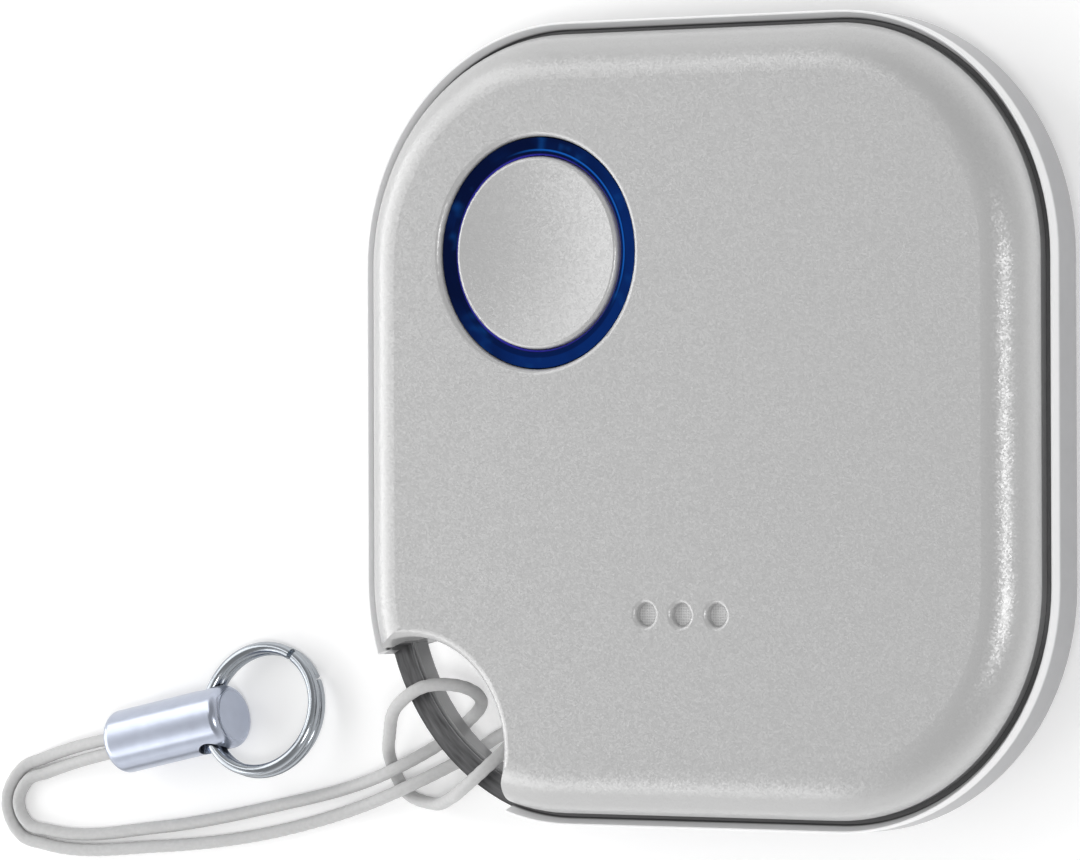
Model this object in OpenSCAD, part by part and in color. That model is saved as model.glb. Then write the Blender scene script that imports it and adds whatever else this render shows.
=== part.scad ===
// Smart push button on a wrist or key lanyard: a two-part pillow case with a lit button,
// a buzzer, a radio board and a coin cell, and a looped cord with a metal end and split ring.
// Frame: the back face lies on z = 0 with its centre at the origin, and the face looks up +Z.

/* [Case] */
// Side of the square case across the rim
case_size = 36; // [35.6:0.1:37]
// Thickness from the back face to the front face
case_depth = 6; // [6:0.05:6.6]
// Corner radius of the rim
corner_r = 10.9; // [10.4:0.1:11.2]
// Wall of the covers
wall = 0.8; // [0.7:0.05:0.85]
// Height of the straight rim band
rim_height = 2.05; // [1.9:0.05:2.2]
// How far the back edge slopes in
back_run = 2.1; // [1.9:0.05:2.3]
// How far the front edge curves in
dome_run = 2.1; // [1.9:0.05:2.2]
// How far the front edge drops from the face to the seam
dome_depth = 1.6; // [1.5:0.05:1.65]
// Width of the top of the bright lip round the seam
lip = 0.1; // [0.08:0.01:0.12]
// Width of the bevel on the lip's outer edge
lip_bevel = 0.05; // [0.03:0.01:0.06]
// Run of the slope from the lip's top down into the seam groove
lip_run = 0.3; // [0.26:0.01:0.34]
// Width of the dark floor of the seam groove
seam_gap = 0.16; // [0.12:0.01:0.2]
// Depth of the seam groove
seam_depth = 0.5; // [0.4:0.05:0.6]
// Thickness of the rear cover's side wall below the lip
rear_wall = 1.3; // [1.25:0.05:1.4]
// Slip between the front cover's tongue and the rear cover
tongue_slip = 0.1; // [0.06:0.01:0.14]
// Reach of the tongue below the seam floor
tongue_drop = 1.0; // [0.8:0.05:1.1]

/* [Lanyard eye] */
// Radius of the corner bite
bite_r = 5.05; // [4.8:0.05:5.2]
// Distance of the bite's centre inside the case's left side and its bottom side
bite_inset = 3.35; // [3:0.05:3.6]
// Rounding of the bite's front edge
bite_round = 0.45; // [0.3:0.05:0.5]
// Radial thickness of the lanyard bar
bar_w = 1.2; // [1.1:0.05:1.25]
// Height of the underside of the bar
bar_low = 1.9; // [1.8:0.05:2]
// Height of the top of the bar
bar_high = 3; // [2.8:0.05:3.05]
// Width and depth of the step along the bar's inner front edge
bar_step = 0.14; // [0.1:0.02:0.2]

/* [Button] */
// Distance of the button's centre inside the case's left side and its top side
button_inset = 10.37; // [10.3:0.01:10.5]
// Radius of the button
button_r = 4.31; // [4.2:0.01:4.4]
// Width of the light ring at the face
ring_w = 0.8; // [0.7:0.05:0.85]
// Clearance on each side of the light ring
ring_clear = 0.05; // [0.03:0.01:0.08]
// Depth of the light ring's face below the case face
ring_sink = 0.22; // [0.15:0.01:0.3]
// Depth of the dish in the button
dish = 0.32; // [0.2:0.02:0.36]
// Depth of the button's rim below the case face
button_sink = 0.05; // [0:0.01:0.1]
// Travel of the button
press = 0.25; // [0.15:0.01:0.28]

/* [Sound holes] */
// Spacing of the three holes
sound_step = 1.86; // [1.7:0.02:2]
// Diameter of each hole
sound_d = 1; // [0.9:0.05:1.05]
// Rounding of each hole's front edge
sound_round = 0.2; // [0.14:0.02:0.24]
// Distance of the row above the case's bottom side
sound_rise = 9.52; // [9.4:0.02:9.7]

/* [Board] */
// Thickness of the circuit board
board_t = 0.8; // [0.6:0.05:0.85]
// Distance of the board's front face below the inside of the front cover
board_drop = 1.5; // [1.45:0.02:1.6]

/* [Battery] */
// Diameter of the coin cell
cell_d = 20; // [19.8:0.05:20.1]
// Thickness of the coin cell
cell_h = 3.2; // [3:0.05:3.25]
// Room between the cell's frame and the inside of the case
cell_room = 0.2; // [0.15:0.02:0.3]

/* [Buzzer] */
// Diameter of the piezo plate
piezo_d = 11; // [10.6:0.1:11.4]

/* [Lanyard] */
// Diameter of the cord
cord_d = 0.6; // [0.5:0.05:0.6]
// Diameter of the metal cord end
ferrule_d = 3; // [2.8:0.05:3]
// Length of the metal cord end
ferrule_l = 6.9; // [6.7:0.1:7.6]
// Outer diameter of the split ring
split_d = 6.4; // [6.2:0.1:7]
// Wire diameter of the split ring
split_wire = 0.55; // [0.45:0.05:0.56]

/* [Hidden] */
$fn = 96;

// Overshoot of cutters, and the air left between parts that touch in use
cut = 0.5;
air = 0.02;

// Case levels and radii, with the radii measured from the corner centres
rim_top = case_depth - dome_depth;
rim_low = rim_top - rim_height;
seam_floor = rim_top - seam_depth;
corner_at = case_size / 2 - corner_r;
lip_in = corner_r - lip - lip_run;
cover_r = lip_in - seam_gap;
rear_in = corner_r - rear_wall;
tongue_r = rear_in - tongue_slip;
tongue_in = tongue_r - wall;
face_r = cover_r - dome_run;
roof = case_depth - wall;
skirt_low = seam_floor + air;
skirt_relief = 0.04;
tongue_low = seam_floor - tongue_drop;
dome_curve = (dome_run * dome_run + dome_depth * dome_depth) / (2 * dome_depth);
back_hollow = (back_run * back_run + rim_low * rim_low) / (2 * back_run);
bite_at = case_size / 2 - bite_inset;

// Button stack
button_at = case_size / 2 - button_inset;
button_pos = [-button_at, button_at];
ring_in = button_r + ring_clear;
ring_out = ring_in + ring_w;
ring_hole = ring_out + ring_clear;
ring_top = case_depth - ring_sink;
ring_chamfer = 0.12;
ring_flange_r = ring_out + 1;
ring_flange_t = 0.45;
ring_flange_top = roof - ring_clear;
ring_low = ring_flange_top - ring_flange_t;
hole_round = 0.25;
button_top = case_depth - button_sink;
button_round = 0.18;
button_skin = 0.55;
button_skirt = 0.6;
button_flange_r = ring_in + 0.6;
button_flange_t = 0.42;
button_flange_top = ring_low - ring_clear;
button_low = button_flange_top - button_flange_t;
button_roof = button_top - dish - button_skin;
post_r = 1.1;

// Tactile switch under the button
board_top = roof - board_drop;
switch_w = 4.6;
switch_well_r = 1.8;
switch_floor = 0.25;
plate_t = 0.1;
plate_hole_r = 1;
stem_r = 0.9;
stem_foot_r = 1.4;
stem_foot_t = 0.1;
switch_stroke = press + 0.06;
switch_base_h = 0.65;
plate_low = board_top + switch_base_h;
plate_top = plate_low + plate_t;
stem_top = plate_top + switch_stroke;
stem_low = plate_low - air - stem_foot_t;
dome_t = 0.08;
dome_r = 1.65;

// Sound holes and buzzer
sound_pos = [0, sound_rise - case_size / 2];
sound_skin = 0.4;
mesh_pocket = [6.4, 2.6];
mesh_t = 0.1;
mesh_edge = 0.1;
gasket_w = 0.9;
gasket_t = 0.12;
piezo_t = 0.1;
ceramic_d = 7.5;
ceramic_t = 0.1;
piezo_top = roof - gasket_t;
piezo_low = piezo_top - piezo_t;
ceramic_low = piezo_low - ceramic_t;

// Battery
rib_h = 0.12;
rib_room = 0.03;
cell_low = wall + rib_h + rib_room;
cell_top = cell_low + cell_h;
cell_r = cell_d / 2;
can_t = 0.25;
can_drop = 0.4;
gasket_ring_w = 0.5;
cap_lid_t = 0.25;
cap_edge = 0.15;
frame_clear = 0.15;
frame_w = 0.85;
frame_lift = 0.6;
frame_sink = 0.1;
frame_low = cell_low + frame_lift;
frame_high = cell_top - frame_sink;
frame_r = cell_r + frame_clear + frame_w;
cell_at = corner_at + tongue_in - cell_room - frame_r;
cell_pos = [cell_at, -cell_at];
leg_d = 0.7;
leg_turns = [45, 90, 135, 315];
clip_w = 3;
clip_t = 0.18;
clip_gap_w = 4;
rib_r = 6;
rib_w = 0.8;

// Board
board_low = board_top - board_t;
board_r = tongue_in - 0.3;
board_cell_r = frame_r + 0.2;
board_bite_r = bite_r + wall + 0.3;
board_edge = corner_at + board_r;
board_foot = board_edge - 3.3;
stake_r = 0.7;
stake_boss_r = 1.2;
stake_head_r = 1.1;
stake_head_t = 0.3;
stake_clear = 0.05;
stakes = [[2.5 - board_edge, -4.5], [board_edge - 3.5, board_edge - 4.5], [-0.6, board_edge - 1.9]];
led_size = [0.6, 1, 0.45];
led_turn_r = button_flange_r + 0.65;
chip_pos = [3.5, board_edge - 5.3];
chip_size = [5, 5, 0.85];
crystal_places = [chip_pos + [4.7, 0.6], chip_pos + [4.8, -1.9]];
crystal_sizes = [[2.5, 2, 0.6], [3.2, 1.5, 0.8]];
antenna_pos = chip_pos + [3.1, 3.5];
antenna_size = [5, 1.5, 1];
capacitor_size = [1, 0.5, 0.5];
capacitor_offsets = [[-3.5, -1.6], [-3.5, -0.3], [-3.5, 1], [3.4, -3], [1.7, -3.1], [7.8, -1.6]];
resistor_size = [1, 0.5, 0.35];
resistor_insets = [[4.3, 0.4], [4.3, -0.8], [4.3, -2], [4.7, -5.6], [3.3, -7.4]];

// Contact leaves: foot and arm thickness, and where the feet end
leaf_t = 0.15;
leaf_foot = [2.2, 2];
leaf_edge_room = 0.8;
leaf_foot_x = cell_pos[0] - board_cell_r - leaf_edge_room;
minus_off = 4.1;
minus_y = cell_pos[1] + minus_off;
minus_past = 0.4;
minus_reach = cell_pos[0] + minus_past;
minus_low = max(cell_top + air, board_top);
dimple_r = 0.8;
dimple_back = 1;
buzzer_leaf_w = 1.2;
buzzer_leaf_t = 0.1;
buzzer_edge_room = 1.4;
buzzer_foot_x = cell_pos[0] - board_cell_r - buzzer_edge_room;
// Each leaf: its place above the row of holes, how far left its tip is, and what it touches
buzzer_leaves = [[1.18, 4.9, "plate"], [-1.22, 3, "ceramic"]];

// Lanyard hardware
cord_r = cord_d / 2;
ferrule_mouth = [-34.4, -14.9];
ferrule_heading = 12;
ferrule_round = 0.45;
ferrule_bore_r = 0.7;
ferrule_bore_l = 3.15;
ferrule_z = ferrule_d / 2;
eye_r = 0.75;
eye_inset = 1.25;
eye_roll = 12;
split_mid_r = (split_d - split_wire) / 2;
split_step = 0.9 * split_wire;
split_gap = 0.25;
split_gap_turns = [20, 50];
split_sag = 6;
split_lift = 0.2;

// Route of the cord, out of the cord end, round the bar and back
cord_route = [
    [-31.4, -14.6, 1.5], [-34.6, -15.3, 1.45], [-37.5, -15.9, 0.8], [-39.6, -16.45, 0.36],
    [-40.8, -16.85, 0.32], [-41.35, -17.9, 0.32], [-40.8, -18.9, 0.32], [-39.5, -19.2, 0.32],
    [-33, -18.9, 0.32], [-26, -17.7, 0.32], [-21.6, -16.7, 0.45], [-19, -15.9, 1.05],
    [-15.2, -13.7, 0.6], [-13.8, -12.6, 1.35], [-13.8, -11.95, 2.7], [-15.1, -11.85, 3.55],
    [-16.9, -12.65, 3.35], [-18.6, -14.2, 1.8], [-19.45, -15.6, 0.42], [-18.7, -16.9, 0.34],
    [-17, -17.4, 0.6], [-15.2, -17.05, 1.8], [-13.4, -16.45, 3.3], [-12, -15.5, 3.55],
    [-11.4, -14.6, 2.75], [-11.75, -14, 1.5], [-13, -14.1, 0.7], [-14.9, -15.1, 0.6],
    [-18.2, -16.65, 1], [-22, -17.9, 0.42], [-26, -18.9, 0.32], [-33, -19.8, 0.32],
    [-39.8, -19.85, 0.32], [-41.15, -19.5, 0.32], [-42.05, -17.9, 0.32], [-41.15, -16.3, 0.32],
    [-39.7, -15.75, 0.4], [-37.6, -15.2, 0.85], [-34.7, -14.65, 1.45], [-31.55, -14, 1.5]
];

function unit(v) = v / norm(v);

// Smooths a route: a point is added halfway along each span, on the curve through its ends
function span(p, i) = norm(p[i + 1] - p[i]);
function lean(p, i) = (p[i + 1] - p[i]) / span(p, i);
function slope(p, i) = i == 0 ? lean(p, 0)
    : i == len(p) - 1 ? lean(p, i - 1)
    : unit(lean(p, i - 1) * span(p, i) + lean(p, i) * span(p, i - 1));
function between(p, i) = (p[i] + p[i + 1]) / 2 + span(p, i) * (slope(p, i) - slope(p, i + 1)) / 8;
function smoothed(p) = [
    for (i = [0:2 * len(p) - 2]) i % 2 == 0 ? p[i / 2] : between(p, (i - 1) / 2)
];

// Sweeps a tube with flat ends along points, turning its rings as little as it can
function heading_at(p, i) = unit(p[min(i + 1, len(p) - 1)] - p[max(i - 1, 0)]);
function squared(v, t) = unit(v - (v * t) * t);
function carried(p, i) = i == 0
    ? squared([0, 0, 1], heading_at(p, 0))
    : squared(carried(p, i - 1), heading_at(p, i));
function normals(p) = [
    for (i = 0, n = carried(p, 0); i < len(p); i = i + 1,
        n = i < len(p) ? squared(n, heading_at(p, i)) : n) n
];
module tube(p, r, sides) {
    side = normals(p);
    rings = [
        for (i = [0:len(p) - 1], k = [0:sides - 1])
            p[i] + r * (cos(360 * k / sides) * side[i]
                + sin(360 * k / sides) * cross(heading_at(p, i), side[i]))
    ];
    walls = [
        for (i = [0:len(p) - 2], k = [0:sides - 1], half = [0, 1])
            let (a = i * sides + k, b = i * sides + (k + 1) % sides)
            half == 0 ? [a, a + sides, b + sides] : [a, b + sides, b]
    ];
    last = (len(p) - 1) * sides;
    ends = [[for (k = [0:sides - 1]) k], [for (k = [sides - 1:-1:0]) last + k]];
    polyhedron(rings, concat(walls, ends));
}

// Draws a profile, given outward from the corner centres, round the rounded square
module around() {
    for (k = [0:3]) rotate(90 * k) translate([corner_at, corner_at, 0]) {
        rotate_extrude(angle = 90) children();
        rotate([90, 0, 0]) linear_extrude(2 * corner_at) children();
    }
}
module middle(low, high) {
    translate([-corner_at, -corner_at, low]) cube([2 * corner_at, 2 * corner_at, high - low]);
}
module slab(r, low, high) {
    around() translate([0, low]) square([r, high - low]);
    middle(low, high);
}
module strip(r_from, r_to, low, high) {
    translate([r_from, low]) square([r_to - r_from, high - low]);
}

// Rounds the front edge of a hole of radius r at height top
module edge_cutter(r, top, e) {
    rotate_extrude() difference() {
        translate([r - e, top - e]) square([2 * e, e + cut]);
        translate([r + e, top - e]) circle(e);
    }
}
module at_bite() {
    translate([-bite_at, -bite_at, 0]) children();
}
module box_on(place, size, low) {
    translate([place[0] - size[0] / 2, place[1] - size[1] / 2, low]) cube(size);
}

// Front cover
module front_outer_profile() {
    strip(0, face_r, rim_top, case_depth);
    intersection() {
        translate([face_r, case_depth - dome_curve]) circle(dome_curve);
        strip(face_r, cover_r + cut, rim_top, case_depth);
    }
    strip(0, cover_r - skirt_relief, skirt_low, rim_top);
}
module front_shell_profile() {
    difference() {
        front_outer_profile();
        strip(-cut, face_r, skirt_low - cut, roof);
        intersection() {
            translate([face_r, case_depth - dome_curve]) circle(dome_curve - wall);
            strip(face_r - air, cover_r, rim_top, roof);
        }
        strip(-cut, tongue_in, skirt_low - cut, rim_top + air);
    }
    strip(tongue_in, tongue_r, tongue_low, skirt_low + air);
}
module front_envelope() {
    around() {
        front_outer_profile();
        strip(0, tongue_r, tongue_low, skirt_low + air);
    }
    middle(tongue_low, case_depth);
}
module stake() {
    translate([0, 0, board_top + stake_clear]) cylinder(r = stake_boss_r, h = roof - board_top);
    translate([0, 0, board_low - stake_clear]) cylinder(r = stake_r, h = board_t + 4 * stake_clear);
    translate([0, 0, board_low - stake_clear - stake_head_t]) cylinder(r = stake_head_r, h = stake_head_t);
}
module front_cover() {
    color("silver") difference() {
        union() {
            around() front_shell_profile();
            middle(roof, case_depth);
            intersection() {
                front_envelope();
                at_bite() cylinder(r = bite_r + wall, h = case_depth);
            }
            for (s = stakes) translate(s) stake();
        }
        at_bite() translate([0, 0, -cut]) cylinder(r = bite_r, h = case_depth + 2 * cut);
        at_bite() edge_cutter(bite_r, case_depth, bite_round);
        translate([button_pos[0], button_pos[1], roof - cut])
            cylinder(r = ring_hole, h = wall + 2 * cut);
        translate(button_pos) edge_cutter(ring_hole, case_depth, hole_round);
        translate(sound_pos) {
            for (k = [-1:1]) translate([k * sound_step, 0, 0]) {
                translate([0, 0, roof - cut]) cylinder(d = sound_d, h = wall + 2 * cut);
                edge_cutter(sound_d / 2, case_depth, sound_round);
            }
            box_on([0, 0],
                [mesh_pocket[0], mesh_pocket[1], case_depth - sound_skin - roof + cut], roof - cut);
        }
    }
}

// Rear cover with the lanyard bar
module rear_outer_profile() {
    polygon([
        [0, 0], [corner_r - back_run, 0], [corner_r, rim_low], [corner_r, rim_top], [0, rim_top]
    ]);
}
module seam_groove() {
    polygon([
        [-cut, seam_floor], [lip_in, seam_floor], [lip_in + lip_run, rim_top],
        [lip_in + lip_run, rim_top + cut], [-cut, rim_top + cut]
    ]);
}
module lip_edge() {
    translate([corner_r, rim_top]) polygon([[-lip_bevel - cut, cut], [cut, -lip_bevel - cut], [cut, cut]]);
}
module rear_shell_profile() {
    difference() {
        rear_outer_profile();
        seam_groove();
        lip_edge();
        strip(-cut, rear_in, rim_low, seam_floor + cut);
        strip(-cut, rear_in - back_run + wall, wall, rim_low + cut);
        intersection() {
            translate([corner_r - back_hollow, rim_low]) circle(back_hollow - rear_wall);
            strip(0, rear_in + cut, wall, rim_low + air);
        }
    }
}
module rear_envelope() {
    around() rear_outer_profile();
    middle(0, rim_top);
}
module lanyard_bar() {
    translate([-corner_at, -corner_at, 0]) difference() {
        translate([0, 0, bar_low]) cylinder(r = corner_r, h = bar_high - bar_low);
        translate([0, 0, bar_low - cut]) cylinder(r = corner_r - bar_w, h = bar_high - bar_low + 2 * cut);
        translate([0, 0, bar_high - bar_step])
            cylinder(r = corner_r - bar_w + bar_step, h = bar_step + cut);
    }
}
module rear_cover() {
    color("silver") {
        difference() {
            union() {
                around() rear_shell_profile();
                middle(0, wall);
                intersection() {
                    rear_envelope();
                    at_bite() cylinder(r = bite_r + wall, h = tongue_low - tongue_slip);
                }
                translate([cell_pos[0], cell_pos[1], wall]) difference() {
                    cylinder(r = rib_r + rib_w, h = rib_h);
                    translate([0, 0, -cut]) cylinder(r = rib_r, h = rib_h + 2 * cut);
                }
            }
            at_bite() translate([0, 0, -cut]) cylinder(r = bite_r, h = case_depth + 2 * cut);
        }
        intersection() {
            rear_envelope();
            lanyard_bar();
            at_bite() cylinder(r = bite_r + wall / 2, h = case_depth);
        }
    }
}

// Button and light ring
module light_ring() {
    color("midnightblue") translate(button_pos) rotate_extrude() {
        polygon([
            [ring_in, ring_low], [ring_out, ring_low], [ring_out, ring_top],
            [ring_in + ring_chamfer, ring_top], [ring_in, ring_top - ring_chamfer]
        ]);
        strip(ring_in, ring_flange_r, ring_low, ring_flange_top);
    }
}
module button_profile() {
    dish_r = button_r - button_round;
    dish_curve = (dish_r * dish_r + dish * dish) / (2 * dish);
    difference() {
        union() {
            strip(0, button_r, button_roof, button_top);
            strip(button_r - button_skirt, button_r, button_low, button_roof + air);
            strip(button_r - button_skirt, button_flange_r, button_low, button_flange_top);
            strip(0, post_r, stem_top, button_roof + air);
        }
        translate([0, button_top - dish + dish_curve]) circle(dish_curve);
        difference() {
            translate([button_r - button_round, button_top - button_round]) square(2 * button_round);
            translate([button_r - button_round, button_top - button_round]) circle(button_round);
        }
    }
}
module button_cap() {
    color("silver") translate(button_pos) rotate_extrude() button_profile();
}

// Tactile switch
module switch_stem() {
    color("black") translate(button_pos) {
        translate([0, 0, stem_low]) cylinder(r = stem_foot_r, h = stem_foot_t);
        translate([0, 0, stem_low]) cylinder(r = stem_r, h = stem_top - stem_low);
    }
}
module switch_base() {
    color("dimgray") translate(button_pos) difference() {
        box_on([0, 0], [switch_w, switch_w, switch_base_h], board_top);
        translate([0, 0, board_top + switch_floor]) cylinder(r = switch_well_r, h = switch_base_h);
    }
}
module switch_plate() {
    color("silver") translate(button_pos) difference() {
        box_on([0, 0], [switch_w, switch_w, plate_t], plate_low);
        translate([0, 0, plate_low - cut]) cylinder(r = plate_hole_r, h = plate_t + 2 * cut);
    }
}
module switch_dome() {
    low = board_top + switch_floor;
    rise = stem_low - air - low;
    curve = (dome_r * dome_r + rise * rise) / (2 * rise);
    color("gold") translate(button_pos) rotate_extrude() intersection() {
        difference() {
            translate([0, low + rise - curve]) circle(curve);
            translate([0, low + rise - curve]) circle(curve - dome_t);
        }
        strip(0, dome_r, low, low + rise + cut);
    }
}

// Circuit board and what is soldered to it
module circuit_board() {
    color("darkgreen") difference() {
        slab(board_r, board_low, board_top);
        translate([cell_pos[0], cell_pos[1], 0]) cylinder(r = board_cell_r, h = case_depth);
        at_bite() cylinder(r = board_bite_r, h = case_depth);
        for (s = stakes) translate(s) cylinder(r = stake_r + stake_clear, h = case_depth);
        translate([cell_pos[0], -case_size, 0]) cube([case_size, case_size + cell_pos[1], case_depth]);
        translate([-case_size, -case_size - board_foot, 0]) cube([2 * case_size, case_size, case_depth]);
    }
}
module ring_leds() {
    color("lightyellow") translate(button_pos) for (k = [0:3]) rotate(90 * k)
        box_on([led_turn_r, 0], led_size, board_top);
}
module radio_chip() {
    color("black") box_on(chip_pos, chip_size, board_top);
}
module crystals() {
    color("silver") for (k = [0:1]) box_on(crystal_places[k], crystal_sizes[k], board_top);
}
module chip_antenna() {
    color("white") box_on(antenna_pos, antenna_size, board_top);
}
module chip_capacitors() {
    color("tan") for (p = capacitor_offsets) box_on(chip_pos + p, capacitor_size, board_top);
}
module chip_resistors() {
    color("black") for (p = resistor_insets) box_on([p[0] - board_edge, p[1]], resistor_size, board_top);
}

// Coin cell and its contacts
module at_cell(z) {
    translate([cell_pos[0], cell_pos[1], z]) children();
}
module battery_can() {
    color("silver") at_cell(cell_low) difference() {
        cylinder(r = cell_r, h = cell_h - can_drop);
        translate([0, 0, can_t]) cylinder(r = cell_r - can_t, h = cell_h);
    }
}
module battery_gasket() {
    color("black") at_cell(cell_low + can_t) difference() {
        cylinder(r = cell_r - can_t, h = cell_h - can_drop + cap_edge - can_t);
        translate([0, 0, -cut]) cylinder(r = cell_r - can_t - gasket_ring_w, h = cell_h);
    }
}
module battery_cap() {
    lid_r = cell_r - can_t - gasket_ring_w;
    color("gainsboro") at_cell(cell_low + can_t) difference() {
        cylinder(r = lid_r, h = cell_h - can_t);
        translate([0, 0, -cut]) cylinder(r = lid_r - can_t, h = cell_h - can_t - cap_lid_t + cut);
    }
}
module battery_core() {
    core_r = cell_r - 2 * can_t - gasket_ring_w;
    color("dimgray") at_cell(cell_low + can_t) cylinder(r = core_r, h = cell_h - can_t - cap_lid_t);
}
module battery_frame() {
    color("dimgray") at_cell(0) {
        difference() {
            translate([0, 0, frame_low]) cylinder(r = frame_r, h = frame_high - frame_low);
            translate([0, 0, frame_low - cut]) cylinder(r = cell_r + frame_clear, h = cell_h + 2 * cut);
            translate([-frame_r - cut, -clip_gap_w / 2, 0]) cube([frame_r, clip_gap_w, case_depth]);
        }
        for (a = leg_turns) rotate(a) translate([frame_r - frame_w / 2, 0, frame_high - air])
            cylinder(d = leg_d, h = roof - frame_high);
    }
}
module positive_contact() {
    can_side = cell_pos[0] - cell_r - air;
    foot_end = leaf_foot_x - leaf_foot[0];
    color("gold") translate([0, cell_pos[1] - clip_w / 2, 0]) {
        translate([foot_end, 0, board_low - clip_t]) cube([can_side - foot_end, clip_w, clip_t]);
        translate([can_side - clip_t, 0, frame_low]) cube([clip_t, clip_w, board_low - frame_low]);
    }
}
module contact_leaf(foot_x, y, w, t, arm_low, arm_end) {
    translate([foot_x - leaf_foot[0], y - w / 2, board_top]) cube([leaf_foot[0], w, t]);
    translate([foot_x - t, y - w / 2, board_top]) cube([t, w, arm_low + t - board_top]);
    translate([foot_x - t, y - w / 2, arm_low]) cube([arm_end - foot_x + t, w, t]);
}
module negative_contact() {
    color("gold") {
        contact_leaf(leaf_foot_x, minus_y, leaf_foot[1], leaf_t, minus_low, minus_reach);
        translate([cell_pos[0] - dimple_back, minus_y, cell_top])
            cylinder(r = dimple_r, h = minus_low - cell_top + leaf_t - air);
    }
}

// Buzzer
module at_sound(z) {
    translate([sound_pos[0], sound_pos[1], z]) children();
}
module piezo_gasket() {
    color("black") at_sound(piezo_top) difference() {
        cylinder(d = piezo_d, h = gasket_t);
        translate([0, 0, -cut]) cylinder(d = piezo_d - 2 * gasket_w, h = gasket_t + 2 * cut);
    }
}
module piezo_plate() {
    color("goldenrod") at_sound(piezo_low) cylinder(d = piezo_d, h = piezo_t);
}
module piezo_ceramic() {
    color("lightgray") at_sound(ceramic_low) cylinder(d = ceramic_d, h = ceramic_t);
}
module piezo_contacts() {
    color("gold") for (leaf = buzzer_leaves) contact_leaf(
        buzzer_foot_x, sound_pos[1] + leaf[0], buzzer_leaf_w, buzzer_leaf_t,
        (leaf[2] == "plate" ? piezo_low : ceramic_low) - air - buzzer_leaf_t, sound_pos[0] - leaf[1]);
}
module sound_mesh() {
    size = [mesh_pocket[0] - 2 * mesh_edge, mesh_pocket[1] - 2 * mesh_edge, mesh_t];
    color("gray") box_on(sound_pos, size, case_depth - sound_skin - mesh_t);
}

// Lanyard
module lanyard_cord() {
    color("lightgray") tube(smoothed(cord_route), cord_r, 8);
}
module along_ferrule() {
    translate([ferrule_mouth[0], ferrule_mouth[1], ferrule_z]) rotate(ferrule_heading) children();
}
module ferrule_body() {
    rotate([0, 90, 0]) rotate_extrude() difference() {
        square([ferrule_d / 2, ferrule_l]);
        for (end = [0, 1]) translate([0, end * ferrule_l]) mirror([0, end]) difference() {
            translate([ferrule_d / 2 - ferrule_round, 0]) translate([0, -cut])
                square([ferrule_round + cut, ferrule_round + cut]);
            translate([ferrule_d / 2 - ferrule_round, ferrule_round]) circle(ferrule_round);
        }
    }
}
module cord_ferrule() {
    color("lightsteelblue") along_ferrule() difference() {
        ferrule_body();
        translate([-cut, 0, 0]) rotate([0, 90, 0]) cylinder(r = ferrule_bore_r, h = ferrule_bore_l + cut);
        translate([ferrule_l - eye_inset, 0, 0]) rotate([90 - eye_roll, 0, 0])
            cylinder(r = eye_r, h = 2 * ferrule_d, center = true);
    }
}
module split_ring() {
    color("silver") along_ferrule() translate([ferrule_l - eye_inset, 0, 0]) rotate([-eye_roll, 0, 0])
        rotate([0, split_sag, 0]) translate([split_mid_r - split_lift, 0, 0]) difference() {
            rotate_extrude() for (k = [-0.5, 0.5])
                translate([split_mid_r, k * split_step]) circle(d = split_wire);
            for (k = [0, 1]) rotate(split_gap_turns[k])
                translate([split_mid_r - split_wire, -split_gap / 2, (k - 1) * split_wire * 2])
                cube([2 * split_wire, split_gap, split_wire * 2]);
        }
}

rear_cover();
front_cover();
light_ring();
button_cap();
switch_stem();
switch_base();
switch_plate();
switch_dome();
circuit_board();
ring_leds();
radio_chip();
crystals();
chip_antenna();
chip_capacitors();
chip_resistors();
battery_can();
battery_cap();
battery_gasket();
battery_core();
battery_frame();
positive_contact();
negative_contact();
piezo_plate();
piezo_ceramic();
piezo_gasket();
piezo_contacts();
sound_mesh();
lanyard_cord();
cord_ferrule();
split_ring();
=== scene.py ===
"""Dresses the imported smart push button: a finish for every solid, the braided cord on the corner
bar, metal ends and solder on the board's chips, and a pale studio round it all."""

import math

import bmesh
import bpy
from bpy.props import FloatProperty, FloatVectorProperty, IntProperty, PointerProperty
from mathutils import Matrix, Vector


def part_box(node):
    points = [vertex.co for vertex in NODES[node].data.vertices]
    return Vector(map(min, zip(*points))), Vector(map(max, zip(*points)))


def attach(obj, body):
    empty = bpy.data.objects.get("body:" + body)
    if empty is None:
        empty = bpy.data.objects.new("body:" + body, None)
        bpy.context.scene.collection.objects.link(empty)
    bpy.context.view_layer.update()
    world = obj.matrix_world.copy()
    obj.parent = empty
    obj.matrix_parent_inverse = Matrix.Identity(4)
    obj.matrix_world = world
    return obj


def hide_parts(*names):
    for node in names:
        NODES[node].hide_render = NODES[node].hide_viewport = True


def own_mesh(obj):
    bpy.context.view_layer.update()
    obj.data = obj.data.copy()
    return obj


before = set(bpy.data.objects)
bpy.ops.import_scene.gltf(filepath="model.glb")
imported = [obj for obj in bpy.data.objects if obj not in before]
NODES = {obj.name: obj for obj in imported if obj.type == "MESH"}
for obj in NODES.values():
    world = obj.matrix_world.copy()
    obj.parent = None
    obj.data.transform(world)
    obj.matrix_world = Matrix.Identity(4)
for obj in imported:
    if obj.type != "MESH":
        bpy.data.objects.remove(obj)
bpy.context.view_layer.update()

bl_info = {
    "name": "Smart push button dressing",
    "version": (1, 0, 0),
    "blender": (4, 5, 0),
    "location": "View3D > Sidebar > Smart button",
    "description": "Dresses the packed smart push button and sets up its studio",
    "category": "Object",
}

MM = 0.001

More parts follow.
